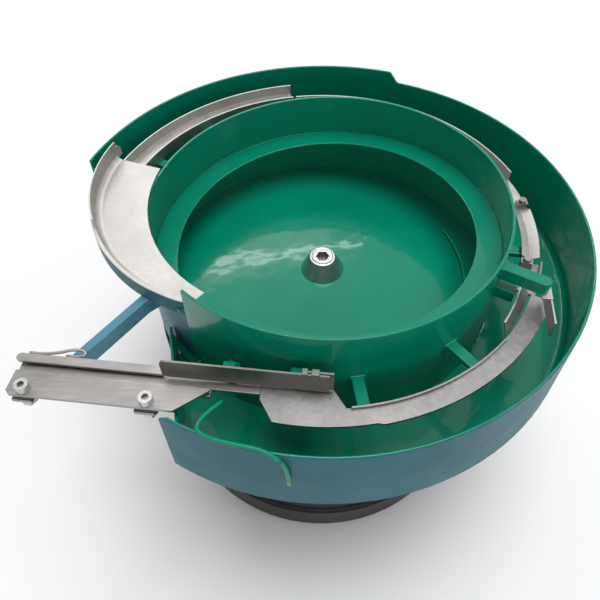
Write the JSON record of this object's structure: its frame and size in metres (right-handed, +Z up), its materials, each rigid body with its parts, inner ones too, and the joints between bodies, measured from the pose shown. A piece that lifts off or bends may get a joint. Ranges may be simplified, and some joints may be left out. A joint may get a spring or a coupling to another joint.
{
  "type": "vibratory bowl feeder",
  "caption": "Vibratory bowl feeder: lined bowl with spiral track, exit tray, outer track, return pan and straight discharge rails on a leaf-spring magnetic drive.",
  "frame": {"origin": "on the bowl's axis at the underside of the rubber feet, at the centre of the feet's bolt circle", "axes": "+Z up along the bowl's axis, +X away from the discharge, -Y towards the side with the clipped pan wall and the front track"},
  "size_m": [0.5867, 0.5833, 0.43],
  "materials": {
    "green_paint": "satin polyurethane lining",
    "teal_paint": "satin",
    "stainless": "brushed",
    "guide_steel": "brushed, darker",
    "zinc_screws": "bright zinc",
    "drive_paint": "semi-matt",
    "cast_parts": "as cast",
    "laminations": "rolled sheet",
    "coil_tape": "varnished tape",
    "spring_steel": "blued",
    "foot_rubber": "matt",
    "gland_plastic": "matt",
    "tube_plastic": "satin"
  },
  "bodies": {
    "drive_base": {"base_casting": "drive_paint", "drive_skirt": "drive_paint", "skirt_screws": "zinc_screws", "rubber_feet": "foot_rubber", "foot_screws": "zinc_screws", "lower_spring_blocks": "cast_parts", "lower_clamps": "cast_parts", "lower_spring_bolts": "zinc_screws", "magnet_core": "laminations", "magnet_coil": "coil_tape", "magnet_stand": "cast_parts", "cable_gland": "gland_plastic", "leaf_springs": "spring_steel"},
    "bowl_unit": {"bowl_floor": "green_paint", "bowl_wall": "green_paint", "spiral_track": "green_paint", "centre_cone": "stainless", "centre_bolt": "stainless", "tray_pocket": "teal_paint", "exit_tray": "stainless", "u_channel": "stainless", "back_track": "stainless", "right_track": "stainless", "track_clamp": "stainless", "front_track": "stainless", "track_brackets": "green_paint", "upper_bar": "green_paint", "lower_bar": "green_paint", "guide_plate": "stainless", "wiper_strip": "stainless", "discharge_floor": "stainless", "rail_spacers": "stainless", "front_rail": "stainless", "back_rail": "stainless", "discharge_guide": "guide_steel", "guide_leaf": "guide_steel", "guide_clips": "guide_steel", "cross_straps": "stainless", "rail_screws": "zinc_screws", "rail_nuts": "zinc_screws", "wire_loop": "stainless", "strut": "teal_paint", "pan_floor": "green_paint", "pan_wall": "green_paint", "pan_end_wall": "green_paint", "pan_back_wall": "green_paint", "return_tab": "green_paint", "pan_ribs": "green_paint", "air_tube": "tube_plastic", "top_plate": "cast_parts", "armature": "laminations", "upper_spring_blocks": "cast_parts", "upper_clamps": "cast_parts", "upper_spring_bolts": "zinc_screws"}
  },
  "joints": [
    {"name": "torsion_swing", "type": "hinge", "parent": "drive_base", "child": "bowl_unit", "pos_m": [0, 0, 0.27], "axis": [0, 0, 1], "range_deg": [-0.15, 0.15], "stiffness_Nm_per_rad": 20000, "deforming": ["leaf_springs"]}
  ]
}
